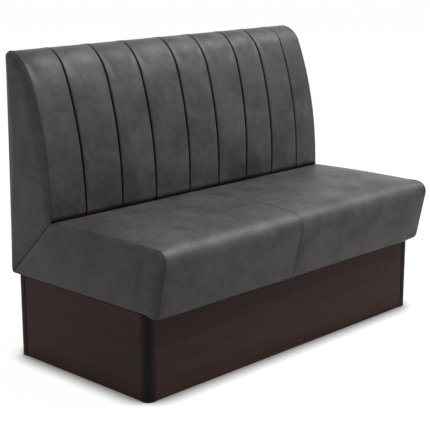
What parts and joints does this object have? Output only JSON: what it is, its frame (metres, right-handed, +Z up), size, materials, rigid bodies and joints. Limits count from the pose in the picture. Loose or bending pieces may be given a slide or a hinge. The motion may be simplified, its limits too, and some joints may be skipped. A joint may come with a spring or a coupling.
{
  "type": "restaurant booth bench",
  "caption": "Upholstered booth bench with a channelled high back mitred to a padded seat, on a boxed wood-grain plinth with black corner posts and hidden levelling feet.",
  "frame": {"origin": "on the floor, under the middle of the bench's overall box", "axes": "+X along the bench, to the right for someone who faces its front, +Y from the front towards the back, +Z up"},
  "size_m": [1.3, 0.7179, 0.992],
  "materials": {
    "upholstery": "matt charcoal faux leather with a soft mottled grain",
    "plinth_laminate": "dark brown wood-grain laminate, satin, grain lying level",
    "corner_post": "near-black moulded plastic, matt",
    "frame_timber": "planed softwood, bare",
    "frame_plywood": "birch plywood, sanded",
    "rear_hardboard": "brown hardboard",
    "foam": "cut polyurethane foam",
    "webbing": "woven elastic webbing",
    "felt": "needled felt pad",
    "foot_nylon": "black nylon, matt",
    "zinc_steel": "zinc-plated steel"
  },
  "bodies": {
    "bench": {"plinth_front_panel": "plinth_laminate", "plinth_rear_panel": "plinth_laminate", "plinth_left_panel": "plinth_laminate", "plinth_right_panel": "plinth_laminate", "plinth_bearer_left": "frame_timber", "plinth_bearer_right": "frame_timber", "corner_post_front_left": "corner_post", "corner_block_front_left": "frame_timber", "corner_post_front_right": "corner_post", "corner_block_front_right": "frame_timber", "corner_post_rear_left": "corner_post", "corner_block_rear_left": "frame_timber", "corner_post_rear_right": "corner_post", "corner_block_rear_right": "frame_timber", "seat_front_rail": "frame_timber", "seat_side_rail_left": "frame_timber", "seat_side_rail_right": "frame_timber", "seat_web_rail": "frame_timber", "seat_middle_rail_left": "frame_timber", "seat_middle_rail_right": "frame_timber", "back_top_rail": "frame_timber", "seat_mitre_batten": "frame_timber", "back_mitre_batten": "frame_timber", "back_side_rib_left": "frame_plywood", "back_side_rib_right": "frame_plywood", "back_middle_rib_left": "frame_plywood", "back_middle_rib_right": "frame_plywood", "back_face_board": "frame_plywood", "back_rear_board": "rear_hardboard", "seat_cover_left": "upholstery", "seat_cover_right": "upholstery", "seat_side_cover_left": "upholstery", "seat_side_cover_right": "upholstery", "back_cover": "upholstery", "back_side_cover_left": "upholstery", "back_side_cover_right": "upholstery", "back_rear_cover": "upholstery", "seat_foam": "foam", "seat_front_foam": "foam", "back_foam": "foam", "seat_webbing_long": "webbing", "seat_webbing_cross": "webbing", "seat_felt": "felt", "foot_inserts": "zinc_steel", "joining_bolts": "zinc_steel", "joining_nuts": "zinc_steel", "fixing_screws": "zinc_steel"},
    "pad_front_left": {"foot_pad_front_left": "foot_nylon"},
    "stem_front_left": {"foot_stem_front_left": "zinc_steel"},
    "pad_front_right": {"foot_pad_front_right": "foot_nylon"},
    "stem_front_right": {"foot_stem_front_right": "zinc_steel"},
    "pad_rear_left": {"foot_pad_rear_left": "foot_nylon"},
    "stem_rear_left": {"foot_stem_rear_left": "zinc_steel"},
    "pad_rear_right": {"foot_pad_rear_right": "foot_nylon"},
    "stem_rear_right": {"foot_stem_rear_right": "zinc_steel"}
  },
  "joints": [
    {"name": "foot_lift_front_left", "type": "slide", "parent": "bench", "child": "pad_front_left", "axis": [0, 0, -1], "range_m": [0, 0.012]},
    {"name": "stem_turn_front_left", "type": "hinge", "parent": "pad_front_left", "child": "stem_front_left", "pos_m": [-0.602, -0.234, 0], "axis": [0, 0, -1], "range_deg": [0, 2880]},
    {"name": "foot_lift_front_right", "type": "slide", "parent": "bench", "child": "pad_front_right", "axis": [0, 0, -1], "range_m": [0, 0.012]},
    {"name": "stem_turn_front_right", "type": "hinge", "parent": "pad_front_right", "child": "stem_front_right", "pos_m": [0.602, -0.234, 0], "axis": [0, 0, -1], "range_deg": [0, 2880]},
    {"name": "foot_lift_rear_left", "type": "slide", "parent": "bench", "child": "pad_rear_left", "axis": [0, 0, -1], "range_m": [0, 0.012]},
    {"name": "stem_turn_rear_left", "type": "hinge", "parent": "pad_rear_left", "child": "stem_rear_left", "pos_m": [-0.602, 0.283, 0], "axis": [0, 0, -1], "range_deg": [0, 2880]},
    {"name": "foot_lift_rear_right", "type": "slide", "parent": "bench", "child": "pad_rear_right", "axis": [0, 0, -1], "range_m": [0, 0.012]},
    {"name": "stem_turn_rear_right", "type": "hinge", "parent": "pad_rear_right", "child": "stem_rear_right", "pos_m": [0.602, 0.283, 0], "axis": [0, 0, -1], "range_deg": [0, 2880]}
  ],
  "couplings": [
    {"joint": "stem_turn_front_left", "follows": "foot_lift_front_left", "rad_per_m": 4188},
    {"joint": "stem_turn_front_right", "follows": "foot_lift_front_right", "rad_per_m": 4188},
    {"joint": "stem_turn_rear_left", "follows": "foot_lift_rear_left", "rad_per_m": 4188},
    {"joint": "stem_turn_rear_right", "follows": "foot_lift_rear_right", "rad_per_m": 4188}
  ]
}
